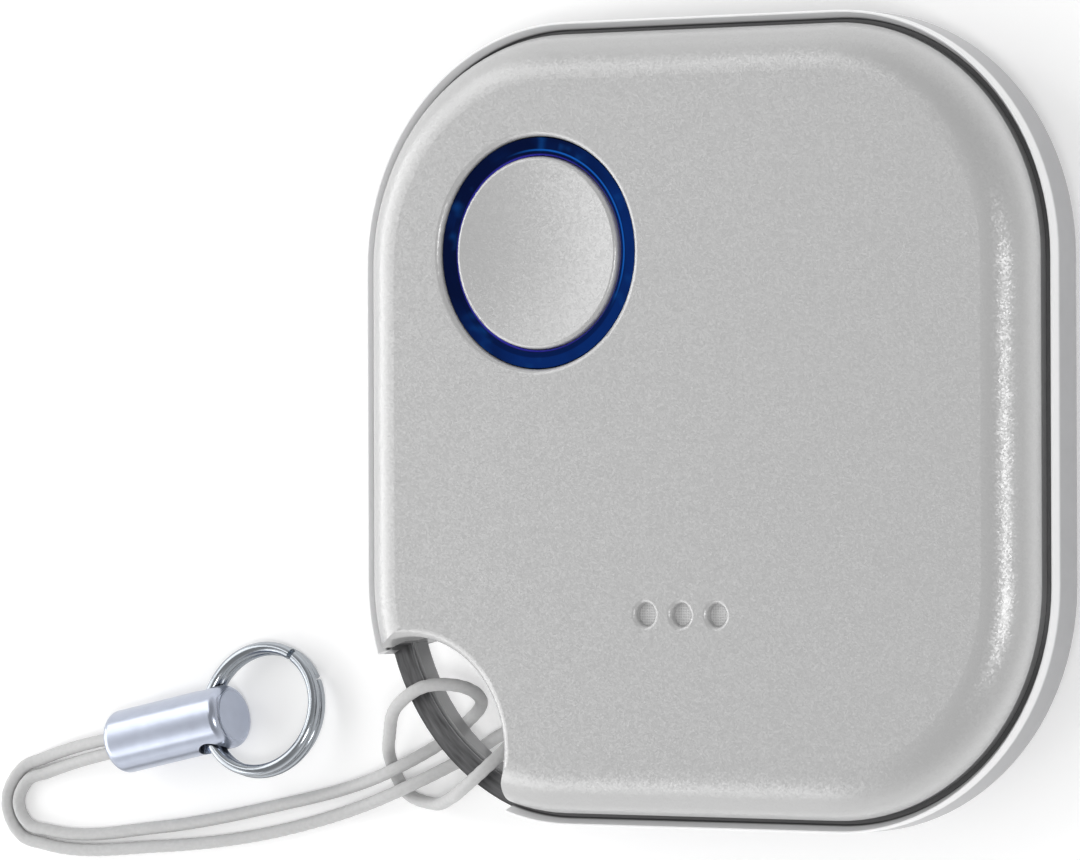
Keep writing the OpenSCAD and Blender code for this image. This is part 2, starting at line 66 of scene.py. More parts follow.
# Route of the cord in millimetres: out of the cord end, round the corner bar and back
CORD_ROUTE = (
    (-31.4, -14.6, 1.5), (-34.6, -15.3, 1.45), (-37.5, -15.9, 0.8), (-39.6, -16.45, 0.36),
    (-40.8, -16.85, 0.32), (-41.35, -17.9, 0.32), (-40.8, -18.9, 0.32), (-39.5, -19.2, 0.32),
    (-33, -18.9, 0.32), (-26, -17.7, 0.32), (-21.6, -16.7, 0.45), (-19, -15.9, 1.05),
    (-15.2, -13.7, 0.6), (-13.8, -12.6, 1.35), (-13.8, -11.95, 2.7), (-15.1, -11.85, 3.55),
    (-16.9, -12.65, 3.35), (-18.6, -14.2, 1.8), (-19.45, -15.6, 0.42), (-18.7, -16.9, 0.34),
    (-17, -17.4, 0.6), (-15.2, -17.05, 1.8), (-13.4, -16.45, 3.3), (-12, -15.5, 3.55),
    (-11.4, -14.6, 2.75), (-11.75, -14, 1.5), (-13, -14.1, 0.7), (-14.9, -15.1, 0.6),
    (-18.2, -16.65, 1), (-22, -17.9, 0.42), (-26, -18.9, 0.32), (-33, -19.8, 0.32),
    (-39.8, -19.85, 0.32), (-41.15, -19.5, 0.32), (-42.05, -17.9, 0.32), (-41.15, -16.3, 0.32),
    (-39.7, -15.75, 0.4), (-37.6, -15.2, 0.85), (-34.7, -14.65, 1.45), (-31.55, -14, 1.5),
)

# The cord end: its mouth in millimetres, and the turn of its axis from X in degrees
CORD_EXIT = (-34.4, -14.9, 1.5)
CORD_END_TURN = 12

# Strands of the cord that are wound each way
BRAID_STRANDS = 4

# What the imported model says of the button and the case, in millimetres
BUTTON_AT = sum(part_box("button_cap"), Vector()) / 2 / MM
CASE_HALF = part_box("rear_cover")[1].x / MM
SEAM_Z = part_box("rear_cover")[1].z / MM

# Where paints change on the case, in millimetres: radii from the corner centres, heights from the back
CORNER_AT = 7.1
RIM_R = CASE_HALF - CORNER_AT
# Painted highlight: the front cover's paint turns lighter over these radii, along its edge by the seam
FACE_HIGHLIGHT_R = (RIM_R - 1.05, RIM_R - 0.55)
# Painted shade on the front cover's skirt: beyond this radius and below the seam
SKIRT_SHADE_R = RIM_R - 0.7
SKIRT_SHADE_TOP_Z = (SEAM_Z, SEAM_Z + 0.05)
# Painted highlight on the rear cover's lip: it starts above these heights
LIP_HIGHLIGHT_FOOT_Z = (SEAM_Z - 0.67, SEAM_Z - 0.43)
GAP_FLOOR_Z = (SEAM_Z - 1.4, SEAM_Z - 1.3)
# Painted shade in the gap between the covers: inside these radii and above the gap's floor
GAP_SHADE_EDGE_R = (RIM_R - 0.36, RIM_R - 0.28)
RIM_END_R = (RIM_R - 0.55, RIM_R - 0.45)
# Painted highlight: the bar's inner side, within these radii, is painted lighter where light would fall on it
BAR_INNER_HIGHLIGHT_R = (RIM_R - 1.1, RIM_R - 1)

# Where the corner bite's wall turns from bar to cover, in millimetres from the bite's axis; inside it the
# rear cover's wall takes the bar's dark paint, which there is painted shade
BITE_AT = (-14.65, -14.65, 0)
BITE_EDGE_R = (5.09, 5.13)

# Where colours and painted highlights change on the light ring, in millimetres from the button's axis, and
# the ways in which its painted light gets brighter
RING_R = (4.36, 5.16)
RING_EDGE_HIGHLIGHT_R = (RING_R[0] + 0.02, RING_R[0] + 0.1)
RING_HIGHLIGHT_ARC_R = (RING_R[0] + 0.17, RING_R[0] + 0.24, RING_R[0] + 0.31)
RING_SHADE_R = (RING_R[0] + 0.3, RING_R[0] + 0.36)
HIGHLIGHT_ARC_FACING = (1.5, 4.5)
HIGHLIGHT_ARC_WAY = (1, 0.8)
PAINTED_LIGHT_WAY = (0.8, -0.6)

# Metal ends of the chips, in millimetres: how far they reach along each kind of chip, and their skin
CAP_REACH = {"chip_capacitors": 0.24, "chip_resistors": 0.2, "chip_antenna": 0.5}
CAP_SKIN = 0.012
CAP_LIFT = 0.002
CAP_ROUND = 0.03

# Solder at those ends, in millimetres: it climbs a share of a chip's height, up to the tallest that counts
SOLDER_RUN = 0.22
SOLDER_SHARE = 0.7
SOLDER_TALLEST = 0.4

# Lands round the radio chip, in millimetres: reach from its wall and rise from its foot
LANDS_A_SIDE = 9
LAND_PITCH = 0.5
LAND_WIDTH = 0.26
LAND_REACH = (-0.05, 0.25)
LAND_RISE = (-0.005, 0.08)
LAND_ROUND = 0.02

# Copper runs on the back of the board, in millimetres across it
BACK_TRACKS = (
    ((-12, 9), (-12, 2), (-10.5, 0.5), (-10.5, -2)),
    ((-9, 11.6), (-5, 11.6), (-3.5, 10.1), (0.5, 10.1)),
    ((-9, 12.4), (-4.4, 12.4), (-2.9, 10.9), (1.6, 10.9)),
    ((2, 8.4), (5, 8.4), (6.5, 9.9), (10, 9.9)),
    ((1.4, 13), (8, 13), (9.4, 11.6), (9.4, 10.8)),
    ((-13.6, 6), (-13.6, -2.6)),
    ((-8.2, 6.5), (-8.2, 1), (-9, 0.2), (-9, -2.2)),
    ((-7.4, 6.5), (-7.4, 3.4)),
    ((-11.4, -3.4), (-11.4, -7.6), (-10.2, -8.8)),
)

# Sections of a copper run and of a pad, in millimetres: place across it and drop below the board
TRACK_SECTION = ((-0.14, -0.01), (-0.112, 0.025), (0.112, 0.025), (0.14, -0.01))
PAD_SECTION = ((0.12, -0.01), (0.12, 0.02), (0.17, 0.04), (0.36, 0.04), (0.4, 0.02), (0.4, -0.01))
PAD_SIDES = 20

# Camera fitted to the photograph: place and sensor in millimetres, clip range in metres
CAMERA_AT = (170.99, -1.98, 271.63)
CAMERA_AHEAD = (-0.5575, 0.00529, -0.83016)
CAMERA_UP = (0.00573, 0.99998, 0.00252)
CAMERA_CLIP = (0.01, 20)
SENSOR_WIDTH = 36

# Lamps by the name of their power: the way to each from the button, and its width and height in metres
LAMP_DISTANCE = 0.6
LAMPS = {
    "key": ((0.5, -0.14, 0.85), (0.1, 0.16)),
    "fill": ((-0.65, 0.47, 0.6), (0.14, 0.5)),
    "side": ((-0.84, -0.16, 0.46), (0.72, 0.46)),
    "strip": ((-0.97, -0.02, 0.22), (0.5, 0.12)),
    "low": ((-0.56, -0.64, 0.53), (0.3, 0.1)),
}

# Where the room's light changes, by the height of a direction and by how far it goes sideways
ZENITH_RISE = (0.3, 0.8)
FLANK_RISE = (0.05, 0.4)
FLANK_REACH = (0.45, 0.9)

# Half the side of the floor paper in metres
FLOOR_HALF = 1.6

# Share of the paint's shading that comes from its flakes, and how much streaks on the bar are drawn out
FLAKE_SHARE = 0.75
STREAK_SQUEEZE = 0.1

# Radians that the wave texture turns in one unit, and steps in a metre that tell mesh points apart
WAVE_RATE = 20
POINT_STEPS = 1e6


def grey(level):
    return (level, level, level)


def color_prop(name, description, default):
    return FloatVectorProperty(
        name=name, description=description, default=default, size=3, min=0, max=1, subtype="COLOR")


def length_prop(name, description, default_mm):
    return FloatProperty(
        name=name, description=description, default=default_mm * MM, min=0, precision=6,
        subtype="DISTANCE", unit="LENGTH")


def power_prop(name, place, default):
    return FloatProperty(
        name=name, description="Power of the lamp " + place, default=default, min=0, unit="POWER")


def share_prop(name, description, default):
    return FloatProperty(name=name, description=description, default=default, min=0)


class SmartButtonFinishes(bpy.types.PropertyGroup):
    """Colours of the button's finishes"""
    face: color_prop("Face", "Satin metallic paint of the front cover", grey(0.485))
    # Painted highlight: a lighter paint along the front cover's edge stands in for the light that edge
    # catches
    face_edge_highlight: color_prop("Face, edge", "Brighter paint of the front cover along the seam", grey(0.62))
    side: color_prop("Side", "Satin metallic paint of the rear cover", (0.4, 0.4, 0.41))
    # Painted highlight: the near-white lip colour stands in for the light the lip catches, also on its inner
    # wall where shade falls
    lip: color_prop("Lip", "Bright edge of the rear cover at the seam", (0.9, 0.9, 0.905))
    # The bar is painted dark with drawn-out streaks; on the rear cover's wall round the corner bite the same
    # dark paint is painted shade
    bar: color_prop("Bar", "Dark metal of the lanyard bar", (0.085, 0.085, 0.088))
    # Painted highlight: the bar's inner side is painted lighter where light would fall on it
    bar_inner_highlight: color_prop("Bar, inner side", "Lighter metal of the bar's inner side", (0.34, 0.34, 0.345))
    # Painted shade: the skirt's dark colour stands in for the shade in the groove between the covers
    seam: color_prop("Seam, front", "Skirt of the front cover below the seam", (0.32, 0.32, 0.325))
    # Painted shade: the gap's dark colour stands in for the shade between the covers
    gap: color_prop("Seam, rear", "Dark floor of the gap between the covers", (0.1, 0.1, 0.102))
    button: color_prop("Button", "Satin metallic paint of the button", grey(0.495))
    # The ring's own deep blue, used also as painted shade at the upper left and to darken an inner band
    ring_dark: color_prop("Ring, dark", "Deep parts of the blue light ring", (0.0008, 0.0045, 0.034))
    # Painted light: the ring is painted in this brighter blue toward the lower right, where light would fall
    ring_blue: color_prop("Ring, lit", "Parts of the light ring that catch light", (0.0016, 0.02, 0.13))
    # Painted highlight: a thin bright line along the ring's inner edge stands in for light caught there
    ring_edge_highlight: color_prop("Ring, edge", "Inner edge of the light ring", (0.05, 0.045, 0.5))
    # Painted glints: spots of brighter blue, brighter still on a thin curved line, stand in for reflections
    ring_painted_glint: color_prop("Ring, glints", "Spots of the light ring that shine", (0.003, 0.045, 0.2))
    cord: color_prop("Cord", "Yarn of the cord", grey(0.52))
    cord_end: color_prop("Cord end", "Turned metal of the cord end", (0.45, 0.485, 0.575))
    split_ring: color_prop("Split ring", "Plated spring wire", (0.38, 0.405, 0.435))
    mask: color_prop("Board", "Solder mask of the board", (0.018, 0.11, 0.045))
    moulding: color_prop("Mouldings", "Dark plastic inside the case", (0.03, 0.03, 0.034))
    brass: color_prop("Contacts", "Rolled strip of the contacts", (0.72, 0.55, 0.28))
    nickel: color_prop("Nickel", "Plated cell can and switch parts", (0.62, 0.61, 0.58))
    tin: color_prop("Tin", "Tinned ends of the chips and their solder", grey(0.66))
    gold: color_prop("Gold", "Plated pads on the back of the board", (0.78, 0.6, 0.28))
    capacitor: color_prop("Capacitors", "Fired body of the capacitors", (0.45, 0.33, 0.22))
    antenna: color_prop("Antenna", "Fired body of the antenna", (0.75, 0.75, 0.72))
    buzzer: color_prop("Buzzer", "Fired disc of the buzzer", (0.72, 0.7, 0.64))


class SmartButtonGrain(bpy.types.PropertyGroup):
    """Grain of the paint and the make of the cord"""
    flake: length_prop("Flake", "Size of a flake in the paint", 0.075)
    flake_tilt: FloatProperty(
        name="Flake tilt", description="How far flakes lean from the surface", default=0.15, min=0, max=1)
    flake_shade: FloatProperty(
        name="Flake shade", description="How far flakes differ in brightness", default=0.02, min=0, max=1)
    cord_width: length_prop("Cord diameter", "Diameter of the cord", 0.6)
    cord_relief: length_prop("Braid relief", "How far strands stand above the gaps between them", 0.016)
    cord_pitch: length_prop("Braid pitch", "Length of one turn of a strand", 2.2)
    cord_step: length_prop("Ring step", "Distance between the rings of the cord's mesh", 0.11)
    cord_sides: IntProperty(
        name="Cord sides", description="Points round the cord", default=24, min=8, max=64)


class SmartButtonStudio(bpy.types.PropertyGroup):
    """Camera and light"""
    lens: FloatProperty(
        name="Lens", description="Focal length on a 36 mm sensor", default=239.02, min=20,
        subtype="DISTANCE_CAMERA")
    key: power_prop("Key", "by the camera", 0.9)
    fill: power_prop("Fill", "at the upper left", 0.48)
    side: power_prop("Side", "that is large and low at the left", 1.52)
    strip: power_prop("Strip", "that is a strip near the floor at the left", 0.42)
    low: power_prop("Low", "that is a strip at the lower left", 0.2)
    zenith: share_prop("Zenith", "Brightness of the room overhead", 0.4)
    horizon: share_prop("Horizon", "Brightness of the room at eye level", 0.85)
    flanks: share_prop("Flanks", "Extra low brightness of the room beyond the top and the bottom edge", 0.55)
    floor: color_prop("Floor", "Paper that the button lies on", grey(0.9))
    floor_lift: share_prop("Floor lift", "Light that the floor paper shows of its own", 0.2)


def settings():
    """The finishes, the grain and the studio that the panel shows."""
    scene = bpy.context.scene
    return scene.smart_button_finishes, scene.smart_button_grain, scene.smart_button_studio


class Finish:
    """One material: uniform numbers on the shader's sockets, with grain linked in."""

    def __init__(self, name, **uniform):
        self.material = bpy.data.materials.new(name)
        self.material.use_nodes = True
        self.tree = self.material.node_tree
        self.shader = self.tree.nodes["Principled BSDF"]
        for key, value in uniform.items():
            socket = key.replace("_", " ").title().replace("Ior", "IOR")
            self.shader.inputs[socket].default_value = value
        self.where = self.node("ShaderNodeTexCoord").outputs["Object"]

    def node(self, kind, **inputs):
        """A new node with numbers or links on its inputs."""
        made = self.tree.nodes.new(kind)
        for key, value in inputs.items():
            self.feed(made.inputs[key], value)
        return made

    def feed(self, socket, value):
        if isinstance(value, bpy.types.NodeSocket):
            self.tree.links.new(value, socket)
        else:
            socket.default_value = value

    def wear(self, socket, value):
        """Sets or links one input of the shader itself."""
        self.feed(self.shader.inputs[socket], value)
        return self

    def math(self, operation, first, second):
        made = self.node("ShaderNodeMath")
        made.operation = operation
        self.feed(made.inputs[0], first)
        self.feed(made.inputs[1], second)
        return made.outputs[0]

    def plus(self, first, second):
        return self.math("ADD", first, second)

    def minus(self, first, second):
        return self.math("SUBTRACT", first, second)

    def times(self, first, second):
        return self.math("MULTIPLY", first, second)

    def vector(self, operation, first, second=None, scale=None):
        made = self.node("ShaderNodeVectorMath")
        made.operation = operation
        self.feed(made.inputs[0], first)
        if second is not None:
            self.feed(made.inputs[1], second)
        if scale is not None:
            self.feed(made.inputs["Scale"], scale)
        return made.outputs[0]

    def split(self, where=None):
        """X, Y and Z of a place."""
        return self.node("ShaderNodeSeparateXYZ", Vector=where or self.where).outputs

    def case_reach(self):
        """Distance outward from the case's corner centres."""
        past = self.vector("SUBTRACT", self.vector("ABSOLUTE", self.where), (CORNER_AT * MM,) * 3)
        past = self.vector("MAXIMUM", past, (0, 0, 0))
        return self.span(self.vector("MULTIPLY", past, (1, 1, 0)))

    def span(self, value):
        """Length of a vector."""
        made = self.node("ShaderNodeVectorMath")
        made.operation = "LENGTH"
        self.feed(made.inputs[0], value)
        return made.outputs["Value"]

    def from_axis(self, centre_mm):
        """Distance from an upright axis."""
        off = self.vector("SUBTRACT", self.where, Vector(centre_mm) * MM)
        return self.span(self.vector("MULTIPLY", off, (1, 1, 0)))

    def smooth(self, value, start, end):
        """0 before start, 1 after end, and smooth between them."""
        made = self.node("ShaderNodeMapRange", Value=value)
        made.interpolation_type = "SMOOTHSTEP"
        made.inputs["From Min"].default_value = start
        made.inputs["From Max"].default_value = end
        return made.outputs["Result"]

    def ease(self, value, start_mm, end_mm):
        """0 before a place, 1 after another."""
        return self.smooth(value, start_mm * MM, end_mm * MM)

    def fade(self, value, start_mm, end_mm):
        """1 before a place, 0 after another."""
        return self.ease(value, end_mm, start_mm)

    def blend(self, factor, first, second):
        """A colour or number between two, by a factor."""
        made = self.node("ShaderNodeMix")
        made.data_type = "FLOAT" if isinstance(first, float) else "RGBA"
        sockets = [i for i in made.inputs if i.enabled]
        self.feed(sockets[0], factor)
        for socket, value in zip(sockets[1:], (first, second)):
            self.feed(socket, (*value, 1) if isinstance(value, tuple) else value)
        return [o for o in made.outputs if o.enabled][0]

    def noise(self, size_mm, detail=3.0, where=None):
        """Clouds of a given size."""
        made = self.node("ShaderNodeTexNoise", Scale=1 / (size_mm * MM), Detail=detail)
        self.feed(made.inputs["Vector"], where or self.where)
        return made.outputs["Fac"]

    def cells(self, size_mm):
        """A chance colour for each cell of a given size."""
        made = self.node("ShaderNodeTexVoronoi", Scale=1 / (size_mm * MM))
        self.feed(made.inputs["Vector"], self.where)
        return made.outputs["Color"]

    def turned(self, centre_mm, turn_deg):
        """Place measured from a centre, with its first axis turned about the vertical."""
        made = self.node("ShaderNodeMapping")
        made.vector_type = "TEXTURE"
        self.feed(made.inputs["Vector"], self.where)
        made.inputs["Location"].default_value = Vector(centre_mm) * MM
        made.inputs["Rotation"].default_value = (0, 0, math.radians(turn_deg))
        return made.outputs[0]

    def waves(self, pitch_mm, kind="BANDS", axis="X", where=None, distortion=0.0):
        """Ripples of a given pitch."""
        scale = math.tau / (WAVE_RATE * pitch_mm * MM)
        made = self.node("ShaderNodeTexWave", Scale=scale, Distortion=distortion)
        made.wave_type = kind
        if kind == "BANDS":
            made.bands_direction = axis
        else:
            made.rings_direction = axis
        self.feed(made.inputs["Vector"], where or self.where)
        return made.outputs["Fac"]

    def ramp(self, factor, first, last):
        """Colours along a factor, from a first stop to a last."""
        made = self.node("ShaderNodeValToRGB", Fac=factor)
        for stop, (place, color) in zip(made.color_ramp.elements, (first, last)):
            stop.position = place
            stop.color = (*color, 1)
        return made.outputs["Color"]

    def spread(self, factor, low, high):
        """Numbers from low to high along a factor."""
        made = self.node("ShaderNodeMapRange", Value=factor)
        made.inputs["To Min"].default_value = low
        made.inputs["To Max"].default_value = high
        return made.outputs["Result"]

    def shades(self, factor, color, amount):
        """The colour, made darker and lighter by an amount along a factor."""
        return self.ramp(factor, (0.2, scaled(color, 1 - amount)), (0.8, scaled(color, 1 + amount)))

    def bump(self, height, depth_mm, strength, below=None):
        """A normal that leans with a height, on top of another normal if one is given."""
        made = self.node("ShaderNodeBump", Height=height, Strength=strength, Distance=depth_mm * MM)
        if below is not None:
            self.feed(made.inputs["Normal"], below)
        return made.outputs["Normal"]


def scaled(color, share):
    return tuple(min(1.0, c * share) for c in color)


def dress(node, finish):
    """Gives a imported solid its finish."""
    slots = NODES[node].data.materials
    slots.clear()
    slots.append(finish.material)


def placed(name, data):
    """A new object in the scene."""
    made = bpy.data.objects.new(name, data)
    bpy.context.scene.collection.objects.link(made)
    return made


def piece_from(bm, name, body, finish):
    """A new piece of the object from a mesh in the making."""
    mesh = bpy.data.meshes.new(name)
    bmesh.ops.recalc_face_normals(bm, faces=bm.faces)
    bm.to_mesh(mesh)
    bm.free()
    if not mesh.polygons:
        raise RuntimeError(name + " came out empty")
    mesh.materials.append(finish.material)
    made = placed(name, mesh)
    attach(made, body)
    return made


def solids_of(node):
    """Lowest and highest corners of each separate solid of a node."""
    mesh = NODES[node].data
    parent = {}

    def root(key):
        while parent[key] != key:
            key = parent[key]
        return key

    for polygon in mesh.polygons:
        keys = [tuple(round(c * POINT_STEPS) for c in mesh.vertices[i].co) for i in polygon.vertices]
        for key in keys:
            parent.setdefault(key, key)
        for key in keys[1:]:
            parent[root(key)] = root(keys[0])
    groups = {}
    for key in parent:
        groups.setdefault(root(key), []).append(key)
    boxes = []
    for keys in groups.values():
        low = Vector([min(k[a] for k in keys) for a in range(3)]) / POINT_STEPS
        high = Vector([max(k[a] for k in keys) for a in range(3)]) / POINT_STEPS
        boxes.append((low, high))
    return sorted(boxes, key=lambda pair: tuple(pair[0]))


def add_block(bm, low, high, round_mm):
    """A box between two corners with rounded edges."""
    made = bmesh.ops.create_cube(bm, size=1)["verts"]
    size = high - low
    middle = (low + high) / 2
    for v in made:
        v.co = Vector(v.co[a] * size[a] + middle[a] for a in range(3))
    edges = {e for v in made for e in v.link_edges}
    bmesh.ops.bevel(
        bm, geom=list(edges), offset=round_mm * MM, segments=2, profile=0.5, affect="EDGES")


def add_fillet(bm, foot, side, width, run, rise):
    """A hollow-faced wedge of solder at the foot of a chip's end: side is -1 or 1 along X."""
    steps = 5
    halves = (-width / 2, width / 2)
    rows = []
    for k in range(steps + 1):
        turn = math.pi / 2 * k / steps
        out = run * (1 - math.sin(turn))
        up = rise * (1 - math.cos(turn))
        rows.append([bm.verts.new((foot.x + side * out, foot.y + half, foot.z + up)) for half in halves])
    heel = [bm.verts.new((foot.x, foot.y + half, foot.z)) for half in halves]
    for a, b in zip(rows, rows[1:]):
        bm.faces.new((a[0], a[1], b[1], b[0]))
    for end in (0, 1):
        bm.faces.new([r[end] for r in rows] + [heel[end]])
    bm.faces.new((rows[0][0], rows[0][1], heel[1], heel[0]))
    bm.faces.new((rows[-1][0], rows[-1][1], heel[1], heel[0]))


def join_rings(bm, rings, closed=False):
    """Walls between neighbouring rings of points; a row of rings that isn't closed gets its two ends."""
    following = rings[1:] + rings[:1] if closed else rings[1:]
    for a, b in zip(rings, following):
        for n in range(len(a)):
            m = (n + 1) % len(a)
            bm.faces.new((a[n], a[m], b[m], b[n]))
    if not closed:
        bm.faces.new(list(reversed(rings[0])))
        bm.faces.new(rings[-1])


# Finishes, each named for what it is on this button

def satin_metallic_paint(name, color, edge=None, seam=None):
    """Flakes that shade and lean a little; a cover also has a painted highlight along its edge and painted
    shade on its skirt below the seam.
    """
    grain = settings()[1]
    finish = Finish(
        name, metallic=0.3, roughness=0.36, coat_weight=0.25, coat_roughness=0.22, ior=1.5)
    flakes = finish.cells(grain.flake / MM)
    flake = finish.node("ShaderNodeSeparateColor", Color=flakes).outputs[0]
    cloud = finish.noise(2.6)
    shade = finish.plus(finish.times(flake, FLAKE_SHARE), finish.times(cloud, 1 - FLAKE_SHARE))
    tone = finish.shades(shade, color, grain.flake_shade)
    if edge and seam:
        reach = finish.case_reach()
        # Painted highlight along the cover's edge by the seam
        edge_highlight = finish.ease(reach, *FACE_HIGHLIGHT_R)
        tone = finish.blend(edge_highlight, tone, finish.shades(shade, edge, grain.flake_shade))
        # Painted shade on the skirt below the seam
        skirt = finish.math("GREATER_THAN", reach, SKIRT_SHADE_R * MM)
        under = finish.fade(finish.split()[2], *SKIRT_SHADE_TOP_Z)
        tone = finish.blend(finish.times(skirt, under), tone, seam)
    finish.wear("Base Color", tone)
    lean = finish.vector("SUBTRACT", flakes, grey(0.5))
    lean = finish.vector("SCALE", lean, scale=grain.flake_tilt)
    level = finish.node("ShaderNodeNewGeometry").outputs["Normal"]
    leaning = finish.vector("NORMALIZE", finish.vector("ADD", level, lean))
    relief = finish.bump(finish.noise(0.35), depth_mm=0.004, strength=0.35, below=leaning)
    return finish.wear("Normal", relief)


def rim_paint(name, side, lip, bar, bar_inner_highlight, gap):
    """Grey sides, a painted highlight on the lip above them, painted shade in the gap behind it, and a dark
    metal bar with its inner side painted lighter; the bar's paint is painted shade on the bite's wall.
    """
    finish = Finish(name, coat_weight=0.3, coat_roughness=0.15, ior=1.5)
    cloud = finish.noise(0.8)
    reach = finish.case_reach()
    x, y, height = finish.split()
    above = finish.ease(height, *GAP_FLOOR_Z)
    rim_end = finish.times(finish.ease(reach, *RIM_END_R), above)
    # The bar's paint covers the bar and also the bite's wall below the rim, where it is painted shade
    in_bite = finish.fade(finish.from_axis(BITE_AT), *BITE_EDGE_R)
    in_bite = finish.times(in_bite, finish.minus(1.0, rim_end))
    # Painted highlight on the lip
    lip_highlight = finish.ease(height, *LIP_HIGHLIGHT_FOOT_Z)
    # Painted shade in the gap behind the lip
    gap_shade = finish.times(finish.fade(reach, *GAP_SHADE_EDGE_R), above)
    tone = finish.blend(lip_highlight, finish.shades(cloud, side, amount=0.04), lip)
    tone = finish.blend(gap_shade, tone, gap)
    along = finish.times(finish.minus(x, y), STREAK_SQUEEZE)
    strand = finish.node("ShaderNodeCombineXYZ", X=reach, Y=along).outputs[0]
    dark = finish.shades(finish.noise(0.2, detail=2.0, where=strand), bar, amount=0.7)
    # Painted highlight: the bar's inner side is painted lighter
    bar_inner_lit = finish.fade(reach, *BAR_INNER_HIGHLIGHT_R)
    tone = finish.blend(in_bite, tone, finish.blend(bar_inner_lit, dark, bar_inner_highlight))
    finish.wear("Base Color", tone)
    finish.wear("Metallic", finish.blend(in_bite, 0.2, 0.4))
    finish.wear("Roughness", finish.spread(cloud, 0.28, 0.38))
    return finish.wear("Normal", finish.bump(finish.noise(0.12), depth_mm=0.003, strength=0.3))


def blue_light_guide(name, deep, lit, edge, glint):
    """Deep blue with a painted look of depth: painted shade darkest at the upper left, an inner band painted
    darker, painted light toward the lower right, painted glints, and a painted highlight along the inner
    edge.
    """
    finish = Finish(name, roughness=0.1, specular_ior_level=0.05, ior=1.49)
    x, y, _ = finish.split(finish.vector("SUBTRACT", finish.where, BUTTON_AT * MM))
    reach = finish.from_axis(BUTTON_AT)
    # Painted light and shade: lighter toward the lower right, darkest toward the upper left, with random
    # streaks
    away = finish.plus(finish.times(x, PAINTED_LIGHT_WAY[0]), finish.times(y, PAINTED_LIGHT_WAY[1]))
    painted_light_side = finish.times(finish.ease(away, -RING_R[1], RING_R[1]), 0.65)
    streak = finish.minus(finish.times(finish.noise(1.6, detail=1.0), 0.7), 0.2)
    tone = finish.ramp(finish.plus(painted_light_side, streak), (0.15, deep), (0.75, lit))
    # An inner band of the ring is painted darker
    tone = finish.blend(finish.times(finish.fade(reach, *RING_SHADE_R), 0.6), tone, deep)
    # Painted glints in spots of brighter blue; the same clouds also ripple the surface
    ripple = finish.noise(0.9, detail=1.0)
    tone = finish.blend(finish.smooth(ripple, 0.56, 0.9), tone, glint)
    # A thin curved painted highlight across the ring, on its upper right side
    inner, crest, outer = RING_HIGHLIGHT_ARC_R
    highlight_arc = finish.times(finish.ease(reach, inner, crest), finish.fade(reach, crest, outer))
    facing = finish.plus(finish.times(x, HIGHLIGHT_ARC_WAY[0]), finish.times(y, HIGHLIGHT_ARC_WAY[1]))
    highlight_arc = finish.times(highlight_arc, finish.ease(facing, *HIGHLIGHT_ARC_FACING))
    tone = finish.blend(highlight_arc, tone, scaled(glint, share=2.4))
    # Painted highlight along the inner edge
    tone = finish.blend(finish.fade(reach, *RING_EDGE_HIGHLIGHT_R), tone, edge)
    finish.wear("Base Color", tone)
    return finish.wear("Normal", finish.bump(ripple, depth_mm=0.02, strength=0.2))


def moulded_plastic(name, color, rough=0.5):
    """A dull moulded skin with a fine grain."""
    finish = Finish(name, ior=1.5)
    finish.wear("Base Color", finish.shades(finish.noise(0.9), color, amount=0.12))
    finish.wear("Roughness", finish.spread(finish.noise(0.2), rough - 0.08, rough + 0.08))
    return finish.wear("Normal", finish.bump(finish.noise(0.09), depth_mm=0.006, strength=0.4))


def green_solder_mask(name, color):
    """Glossy lacquer through which the weave of the board shows."""
    finish = Finish(name, coat_weight=0.3, coat_roughness=0.2, ior=1.55)
    weave = finish.plus(finish.waves(0.45, axis="X"), finish.waves(0.45, axis="Y"))
    weave = finish.times(weave, 0.35)
    cloud = finish.plus(weave, finish.times(finish.noise(1.6), 0.3))
    finish.wear("Base Color", finish.shades(cloud, color, amount=0.2))
    finish.wear("Roughness", finish.spread(finish.noise(0.6), 0.3, 0.45))
    return finish.wear("Normal", finish.bump(weave, depth_mm=0.004, strength=0.3))


def plated_metal(name, color, rough, grain_mm=0.06, centre_mm=None, ring_pitch_mm=None):
    """Plated sheet or wire with a fine grain, and turning rings about a centre where they are asked for."""
    finish = Finish(name, metallic=1.0)
    finish.wear("Base Color", finish.shades(finish.noise(1.4), color, amount=0.06))
    finish.wear("Roughness", finish.spread(finish.noise(0.5), rough - 0.05, rough + 0.07))
    height = finish.noise(grain_mm)
    if ring_pitch_mm:
        rings = finish.waves(ring_pitch_mm, "RINGS", "Z", finish.turned(centre_mm, 0), distortion=0.6)
        height = finish.plus(height, finish.times(rings, 1.4))
    return finish.wear("Normal", finish.bump(height, depth_mm=0.003, strength=0.35))


def turned_metal(name, color, rough, mouth_mm, turn_deg):
    """Fine lathe rings across the axis of the cord end."""
    finish = Finish(name, metallic=1.0)
    along = finish.turned(mouth_mm, turn_deg)
    rings = finish.waves(0.05, "BANDS", "X", along, distortion=0.8)
    finish.wear("Base Color", finish.shades(finish.noise(0.7), color, amount=0.06))
    finish.wear("Roughness", finish.spread(rings, rough - 0.04, rough + 0.08))
    return finish.wear("Normal", finish.bump(rings, depth_mm=0.001, strength=0.1))


def fired_ceramic(name, color):
    """A matt fired body with a grainy skin."""
    finish = Finish(name, ior=1.6)
    cloud = finish.noise(0.25)
    finish.wear("Base Color", finish.shades(cloud, color, amount=0.1))
    finish.wear("Roughness", finish.spread(cloud, 0.5, 0.7))
    return finish.wear("Normal", finish.bump(finish.noise(0.05), depth_mm=0.004, strength=0.4))


